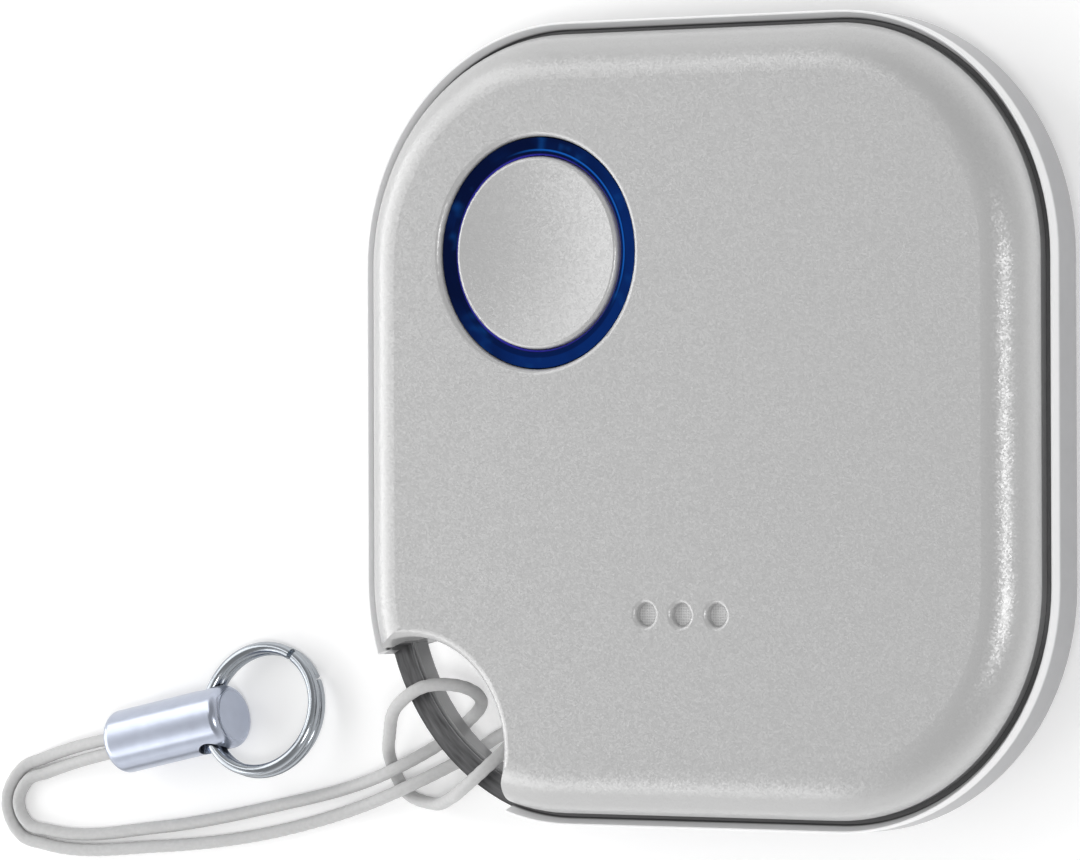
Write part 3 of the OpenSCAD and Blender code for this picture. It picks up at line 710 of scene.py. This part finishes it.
def seal_rubber(name):
    """Soft black rubber."""
    finish = Finish(name, ior=1.45)
    cloud = finish.noise(0.5)
    finish.wear("Base Color", finish.ramp(cloud, (0.3, grey(0.014)), (0.7, grey(0.028))))
    finish.wear("Roughness", finish.spread(cloud, 0.6, 0.8))
    return finish.wear("Normal", finish.bump(finish.noise(0.08), depth_mm=0.008, strength=0.5))


def lamp_phosphor(name):
    """Yellow phosphor under a clear lens."""
    finish = Finish(name, roughness=0.25, coat_weight=0.6, coat_roughness=0.05, ior=1.5)
    tone = finish.ramp(finish.noise(0.15), (0.3, (0.8, 0.68, 0.25)), (0.7, (0.9, 0.85, 0.6)))
    return finish.wear("Base Color", tone)


def pressed_filling(name):
    """Dull filling of the cell."""
    finish = Finish(name, roughness=0.8)
    tone = finish.ramp(finish.noise(0.3), (0.3, grey(0.05)), (0.7, grey(0.12)))
    return finish.wear("Base Color", tone)


def woven_mesh(name):
    """Fine acoustic mesh, darker where its threads cross."""
    finish = Finish(name, metallic=0.2, roughness=0.5)
    weave = finish.times(finish.waves(0.12, axis="X"), finish.waves(0.12, axis="Y"))
    finish.wear("Base Color", finish.ramp(weave, (0.1, grey(0.66)), (0.6, grey(0.5))))
    return finish.wear("Normal", finish.bump(weave, depth_mm=0.02, strength=0.4))


def braided_yarn(name, color):
    """Soft yarn with a little sheen; the strands themselves are in the mesh."""
    finish = Finish(name, roughness=0.55, sheen_weight=0.15, sheen_roughness=0.4, ior=1.5)
    finish.wear("Base Color", finish.shades(finish.noise(0.22), color, amount=0.06))
    return finish.wear("Normal", finish.bump(finish.noise(0.04), depth_mm=0.006, strength=0.35))


# Operators, one for each piece or group of like pieces

class SMART_BUTTON_OT_camera(bpy.types.Operator):
    """Sets the camera where the photograph was taken from"""
    bl_idname = "smart_button.camera"
    bl_label = "Camera"

    def execute(self, context):
        studio = settings()[2]
        data = bpy.data.cameras.new("photo_camera")
        data.sensor_fit = "HORIZONTAL"
        data.sensor_width = SENSOR_WIDTH
        data.lens = studio.lens
        data.clip_start, data.clip_end = CAMERA_CLIP
        camera = placed("photo_camera", data)
        ahead = Vector(CAMERA_AHEAD).normalized()
        right = ahead.cross(Vector(CAMERA_UP)).normalized()
        above = right.cross(ahead)
        turn = Matrix((right, above, -ahead)).transposed().to_4x4()
        camera.matrix_world = Matrix.Translation(Vector(CAMERA_AT) * MM) @ turn
        context.scene.camera = camera
        return {"FINISHED"}


class SMART_BUTTON_OT_cord(bpy.types.Operator):
    """Braids the cord along its route"""
    bl_idname = "smart_button.cord"
    bl_label = "Cord"

    def execute(self, context):
        finishes, grain, _ = settings()
        path = cord_line(grain.cord_step)
        finish = braided_yarn("cord_yarn", tuple(finishes.cord))
        braid = piece_from(braid_mesh(path, grain), "lanyard_braid", "rear_case", finish)
        for polygon in braid.data.polygons:
            polygon.use_smooth = True
        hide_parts("lanyard_cord")
        return {"FINISHED"}


def cord_line(step):
    """Points along the smooth line through the route."""
    route = [Vector(p) * MM for p in CORD_ROUTE]
    spans = [(b - a).length for a, b in zip(route, route[1:])]
    leans = [(b - a).normalized() for a, b in zip(route, route[1:])]
    slopes = [leans[0]]
    for k in range(1, len(spans)):
        slopes.append((leans[k - 1] * spans[k] + leans[k] * spans[k - 1]).normalized())
    slopes.append(leans[-1])
    line = []
    for k, span in enumerate(spans):
        count = max(2, round(span / step))
        for n in range(count):
            t = n / count
            line.append(
                route[k] * (2 * t ** 3 - 3 * t ** 2 + 1) + slopes[k] * span * (t ** 3 - 2 * t ** 2 + t)
                + route[k + 1] * (3 * t ** 2 - 2 * t ** 3) + slopes[k + 1] * span * (t ** 3 - t ** 2))
    line.append(route[-1])
    return line


def braid_mesh(path, grain):
    """A tube whose skin rises and falls with two sets of strands wound opposite ways."""
    bm = bmesh.new()
    sides = grain.cord_sides
    side = Vector((0, 0, 1))
    run = 0.0
    rings = []
    for k, point in enumerate(path):
        ahead = (path[min(k + 1, len(path) - 1)] - path[max(k - 1, 0)]).normalized()
        side = (side - ahead * side.dot(ahead)).normalized()
        across = ahead.cross(side)
        if k:
            run += (point - path[k - 1]).length
        twist = math.tau * run / grain.cord_pitch
        ring = []
        for n in range(sides):
            turn = math.tau * n / sides
            one_way = math.sin(BRAID_STRANDS * (turn + twist))
            other_way = math.sin(BRAID_STRANDS * (turn - twist))
            strand = max(one_way, other_way)
            reach = grain.cord_width / 2 - grain.cord_relief * (1 - strand) / 2
            ring.append(bm.verts.new(point + (side * math.cos(turn) + across * math.sin(turn)) * reach))
        rings.append(ring)
    join_rings(bm, rings)
    return bm


class SMART_BUTTON_OT_case(bpy.types.Operator):
    """Paints the covers and finishes the mesh behind the sound holes"""
    bl_idname = "smart_button.case"
    bl_label = "Case"

    def execute(self, context):
        finishes = settings()[0]
        dress("front_cover", satin_metallic_paint(
            "face_paint", tuple(finishes.face), tuple(finishes.face_edge_highlight), tuple(finishes.seam)))
        dress("rear_cover", rim_paint(
            "rim_paint", tuple(finishes.side), tuple(finishes.lip), tuple(finishes.bar),
            tuple(finishes.bar_inner_highlight), tuple(finishes.gap)))
        dress("sound_mesh", woven_mesh("acoustic_mesh"))
        return {"FINISHED"}


class SMART_BUTTON_OT_button(bpy.types.Operator):
    """Paints the button and tints the light ring round it"""
    bl_idname = "smart_button.button"
    bl_label = "Button and light ring"

    def execute(self, context):
        finishes = settings()[0]
        dress("button_cap", satin_metallic_paint("button_paint", tuple(finishes.button)))
        dress("light_ring", blue_light_guide(
            "ring_blue", tuple(finishes.ring_dark), tuple(finishes.ring_blue), tuple(finishes.ring_edge_highlight),
            tuple(finishes.ring_painted_glint)))
        return {"FINISHED"}


class SMART_BUTTON_OT_lanyard_end(bpy.types.Operator):
    """Finishes the cord end and the split ring"""
    bl_idname = "smart_button.lanyard_end"
    bl_label = "Cord end and split ring"

    def execute(self, context):
        finishes = settings()[0]
        dress("cord_ferrule", turned_metal(
            "cord_end_metal", tuple(finishes.cord_end), rough=0.24, mouth_mm=CORD_EXIT,
            turn_deg=CORD_END_TURN))
        dress("split_ring", plated_metal("ring_wire", tuple(finishes.split_ring), rough=0.18))
        return {"FINISHED"}


class SMART_BUTTON_OT_switch(bpy.types.Operator):
    """Finishes the switch under the button, and sets a copy of the snap dome, with a mesh of its own, in
    place of the imported dome
    """
    bl_idname = "smart_button.switch"
    bl_label = "Switch"

    def execute(self, context):
        finishes = settings()[0]
        moulding = moulded_plastic("switch_moulding", tuple(finishes.moulding))
        plate = plated_metal("switch_plating", tuple(finishes.nickel), rough=0.3)
        for node in ("switch_stem", "switch_base"):
            dress(node, moulding)
        for node in ("switch_plate", "switch_dome"):
            dress(node, plate)
        bm = bmesh.new()
        bm.from_mesh(NODES["switch_dome"].data)
        disc = piece_from(bm, "switch_snap_disc", "front_case", plate)
        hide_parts("switch_dome")
        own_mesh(disc)
        return {"FINISHED"}


class SMART_BUTTON_OT_board(bpy.types.Operator):
    """Finishes the board and its chips, with their metal ends, solder and copper runs"""
    bl_idname = "smart_button.board"
    bl_label = "Board"

    def execute(self, context):
        finishes = settings()[0]
        dress("circuit_board", green_solder_mask("solder_mask", tuple(finishes.mask)))
        dress("radio_chip", moulded_plastic("chip_moulding", tuple(finishes.moulding), rough=0.42))
        dress("chip_resistors", moulded_plastic("resistor_glaze", tuple(finishes.moulding), rough=0.3))
        dress("chip_capacitors", fired_ceramic("capacitor_ceramic", tuple(finishes.capacitor)))
        dress("chip_antenna", fired_ceramic("antenna_ceramic", tuple(finishes.antenna)))
        dress("crystals", plated_metal("crystal_lid", tuple(finishes.nickel), rough=0.28))
        dress("ring_leds", lamp_phosphor("lamp_phosphor"))
        tin = plated_metal("tinned_ends", tuple(finishes.tin), rough=0.3)
        for node, reach in CAP_REACH.items():
            piece_from(end_caps(node, reach), node + "_ends", "front_case", tin)
        piece_from(solder_feet(), "solder_feet", "front_case", tin)
        piece_from(chip_pads(), "radio_chip_pads", "front_case", tin)
        runs = green_solder_mask("masked_copper", scaled(finishes.mask, share=1.9))
        piece_from(back_tracks(), "board_tracks", "front_case", runs)
        pads = plated_metal("gold_pads", tuple(finishes.gold), rough=0.3)
        piece_from(back_pads(), "board_pads", "front_case", pads)
        return {"FINISHED"}


def end_caps(node, reach_mm):
    """Plated caps over both ends of each chip of a node, along X."""
    bm = bmesh.new()
    skin = Vector((CAP_SKIN, CAP_SKIN, CAP_SKIN)) * MM
    for low, high in solids_of(node):
        for side in (-1, 1):
            first = low - skin
            last = high + skin
            first.z = low.z + CAP_LIFT * MM
            if side < 0:
                last.x = low.x + reach_mm * MM
            else:
                first.x = high.x - reach_mm * MM
            add_block(bm, first, last, CAP_ROUND)
    return bm


def solder_feet():
    """Solder at both ends of each chip on the board."""
    bm = bmesh.new()
    for node in CAP_REACH:
        for low, high in solids_of(node):
            rise = min(high.z - low.z, SOLDER_TALLEST * MM) * SOLDER_SHARE
            for side, x in ((-1, low.x), (1, high.x)):
                foot = Vector((x + side * CAP_SKIN * MM, (low.y + high.y) / 2, low.z))
                add_fillet(bm, foot, side, high.y - low.y, SOLDER_RUN * MM, rise)
    return bm


def chip_pads():
    """Tinned lands round the foot of the radio chip."""
    bm = bmesh.new()
    low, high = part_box("radio_chip")
    middle = (low + high) / 2
    half = (high.x - low.x) / 2
    for quarter in range(4):
        turn = Matrix.Rotation(math.pi / 2 * quarter, 3, "Z")
        for k in range(LANDS_A_SIDE):
            along = (k - (LANDS_A_SIDE - 1) / 2) * LAND_PITCH
            a = turn @ Vector((half + LAND_REACH[0] * MM, (along - LAND_WIDTH / 2) * MM, 0))
            b = turn @ Vector((half + LAND_REACH[1] * MM, (along + LAND_WIDTH / 2) * MM, 0))
            first = Vector((min(a.x, b.x) + middle.x, min(a.y, b.y) + middle.y, low.z + LAND_RISE[0] * MM))
            last = Vector((max(a.x, b.x) + middle.x, max(a.y, b.y) + middle.y, low.z + LAND_RISE[1] * MM))
            add_block(bm, first, last, LAND_ROUND)
    return bm


def back_tracks():
    """Copper runs under the mask on the back of the board."""
    bm = bmesh.new()
    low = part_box("circuit_board")[0]
    for track in BACK_TRACKS:
        points = [Vector((x, y, 0)) * MM for x, y in track]
        sections = []
        for k, point in enumerate(points):
            back = (point - points[k - 1]).normalized() if k else None
            ahead = (points[k + 1] - point).normalized() if k + 1 < len(points) else None
            way = ((back or ahead) + (ahead or back)).normalized()
            out = Vector((-way.y, way.x, 0)) * MM / way.dot(ahead or back)
            sections.append([
                bm.verts.new((point.x + out.x * across, point.y + out.y * across, low.z - drop * MM))
                for across, drop in TRACK_SECTION])
        join_rings(bm, sections)
    return bm


def back_pads():
    """Round plated pads with a hole's dimple at the ends of the copper runs."""
    bm = bmesh.new()
    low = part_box("circuit_board")[0]
    turns = [math.tau * n / PAD_SIDES for n in range(PAD_SIDES)]
    for track in BACK_TRACKS:
        for x, y in (track[0], track[-1]):
            rings = [
                [bm.verts.new(((x + r * math.cos(t)) * MM, (y + r * math.sin(t)) * MM, low.z - drop * MM))
                 for t in turns]
                for r, drop in PAD_SECTION]
            join_rings(bm, rings, closed=True)
    return bm


class SMART_BUTTON_OT_cell(bpy.types.Operator):
    """Finishes the coin cell, its frame and its contacts"""
    bl_idname = "smart_button.cell"
    bl_label = "Coin cell"

    def execute(self, context):
        finishes = settings()[0]
        low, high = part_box("battery_can")
        centre = (low + high) / 2 / MM
        centre.z = 0
        nickel = plated_metal(
            "cell_nickel", tuple(finishes.nickel), rough=0.26, grain_mm=0.05, centre_mm=centre,
            ring_pitch_mm=0.16)
        for node in ("battery_can", "battery_cap"):
            dress(node, nickel)
        dress("battery_gasket", seal_rubber("cell_seal"))
        dress("battery_core", pressed_filling("cell_filling"))
        dress("battery_frame", moulded_plastic("frame_moulding", tuple(finishes.moulding)))
        brass = plated_metal("contact_brass", tuple(finishes.brass), rough=0.3)
        for node in ("positive_contact", "negative_contact"):
            dress(node, brass)
        return {"FINISHED"}


class SMART_BUTTON_OT_buzzer(bpy.types.Operator):
    """Finishes the buzzer under the sound holes"""
    bl_idname = "smart_button.buzzer"
    bl_label = "Buzzer"

    def execute(self, context):
        finishes = settings()[0]
        brass = plated_metal("buzzer_brass", tuple(finishes.brass), rough=0.34)
        for node in ("piezo_plate", "piezo_contacts"):
            dress(node, brass)
        dress("piezo_ceramic", fired_ceramic("buzzer_ceramic", tuple(finishes.buzzer)))
        dress("piezo_gasket", seal_rubber("buzzer_seal"))
        return {"FINISHED"}


class SMART_BUTTON_OT_studio(bpy.types.Operator):
    """Lays the floor paper and sets the lamps and the room light"""
    bl_idname = "smart_button.studio"
    bl_label = "Studio"

    def execute(self, context):
        studio = settings()[2]
        context.scene.view_settings.view_transform = "Standard"
        lay_floor(studio)
        room_light(studio)
        for name, (way, size) in LAMPS.items():
            hang_lamp(name + "_lamp", way, size, getattr(studio, name))
        return {"FINISHED"}


def lay_floor(studio):
    """White paper that takes the button's shadow and shows a little light of its own."""
    bm = bmesh.new()
    bmesh.ops.create_grid(bm, x_segments=4, y_segments=4, size=FLOOR_HALF)
    mesh = bpy.data.meshes.new("floor_paper")
    bm.to_mesh(mesh)
    bm.free()
    floor = placed("floor_paper", mesh)
    paper = Finish("floor_paper", roughness=0.9, specular_ior_level=0.0)
    paper.wear("Base Color", paper.shades(paper.noise(30), tuple(studio.floor), amount=0.004))
    rays = paper.node("ShaderNodeLightPath").outputs
    seen = paper.math("MAXIMUM", rays["Is Camera Ray"], rays["Is Glossy Ray"])
    seen = paper.math("MAXIMUM", seen, rays["Is Transmission Ray"])
    paper.wear("Emission Color", (1, 1, 1, 1))
    paper.wear("Emission Strength", paper.times(seen, studio.floor_lift))
    mesh.materials.append(paper.material)


def room_light(studio):
    """A room that is bright at eye level, more so low at the flanks, and greyer overhead."""
    world = bpy.data.worlds.new("pale_room")
    world.use_nodes = True
    tree = world.node_tree
    background = tree.nodes["Background"]
    background.inputs["Color"].default_value = (1, 1, 1, 1)
    place = tree.nodes.new("ShaderNodeTexCoord")
    parts = tree.nodes.new("ShaderNodeSeparateXYZ")
    tree.links.new(place.outputs["Generated"], parts.inputs[0])
    sideways = tree.nodes.new("ShaderNodeMath")
    sideways.operation = "ABSOLUTE"
    tree.links.new(parts.outputs["Y"], sideways.inputs[0])
    height = parts.outputs["Z"]
    room = room_change(tree, height, ZENITH_RISE, (studio.horizon, studio.zenith))
    flank = room_change(tree, sideways.outputs[0], FLANK_REACH, (0, studio.flanks))
    low = room_change(tree, height, FLANK_RISE, (1, 0))
    both = tree.nodes.new("ShaderNodeMath")
    both.operation = "MULTIPLY_ADD"
    for part, socket in zip((flank, low, room), both.inputs):
        tree.links.new(part, socket)
    tree.links.new(both.outputs[0], background.inputs["Strength"])
    bpy.context.scene.world = world


def room_change(tree, value, span, levels):
    """A brightness that goes smoothly from one level to another as a value goes along a span."""
    made = tree.nodes.new("ShaderNodeMapRange")
    made.interpolation_type = "SMOOTHSTEP"
    tree.links.new(value, made.inputs["Value"])
    for socket, number in zip(("From Min", "From Max", "To Min", "To Max"), (*span, *levels)):
        made.inputs[socket].default_value = number
    return made.outputs["Result"]


def hang_lamp(name, way, size, power):
    """A lamp some way off that faces the button."""
    data = bpy.data.lights.new(name, "AREA")
    data.shape = "RECTANGLE"
    data.size, data.size_y = size
    data.energy = power
    lamp = placed(name, data)
    way = Vector(way).normalized()
    lamp.location = way * LAMP_DISTANCE
    lamp.rotation_euler = way.to_track_quat("Z", "Y").to_euler()


class SMART_BUTTON_PT_panel(bpy.types.Panel):
    """Lists the sizes, the colours and the steps"""
    bl_idname = "SMART_BUTTON_PT_panel"
    bl_label = "Smart button"
    bl_space_type = "VIEW_3D"
    bl_region_type = "UI"
    bl_category = "Smart button"

    def draw(self, context):
        layout = self.layout
        for group in settings():
            box = layout.box()
            for key in group.bl_rna.properties.keys():
                if key not in ("rna_type", "name"):
                    box.prop(group, key)
        for step in STEPS:
            layout.operator(step.bl_idname)


GROUPS = (SmartButtonFinishes, SmartButtonGrain, SmartButtonStudio)
STEPS = (
    SMART_BUTTON_OT_camera, SMART_BUTTON_OT_cord, SMART_BUTTON_OT_case, SMART_BUTTON_OT_button,
    SMART_BUTTON_OT_lanyard_end, SMART_BUTTON_OT_switch, SMART_BUTTON_OT_board, SMART_BUTTON_OT_cell,
    SMART_BUTTON_OT_buzzer, SMART_BUTTON_OT_studio,
)


def register():
    for made in (*GROUPS, *STEPS, SMART_BUTTON_PT_panel):
        bpy.utils.register_class(made)
    bpy.types.Scene.smart_button_finishes = PointerProperty(type=SmartButtonFinishes)
    bpy.types.Scene.smart_button_grain = PointerProperty(type=SmartButtonGrain)
    bpy.types.Scene.smart_button_studio = PointerProperty(type=SmartButtonStudio)


def unregister():
    del bpy.types.Scene.smart_button_studio
    del bpy.types.Scene.smart_button_grain
    del bpy.types.Scene.smart_button_finishes
    for made in (SMART_BUTTON_PT_panel, *reversed(STEPS), *reversed(GROUPS)):
        bpy.utils.unregister_class(made)


def main():
    register()
    ops = bpy.ops.smart_button
    for step in (
            ops.camera, ops.cord, ops.case, ops.button, ops.lanyard_end, ops.switch, ops.board,
            ops.cell, ops.buzzer, ops.studio):
        step()


if __name__ == "__main__":
    main()
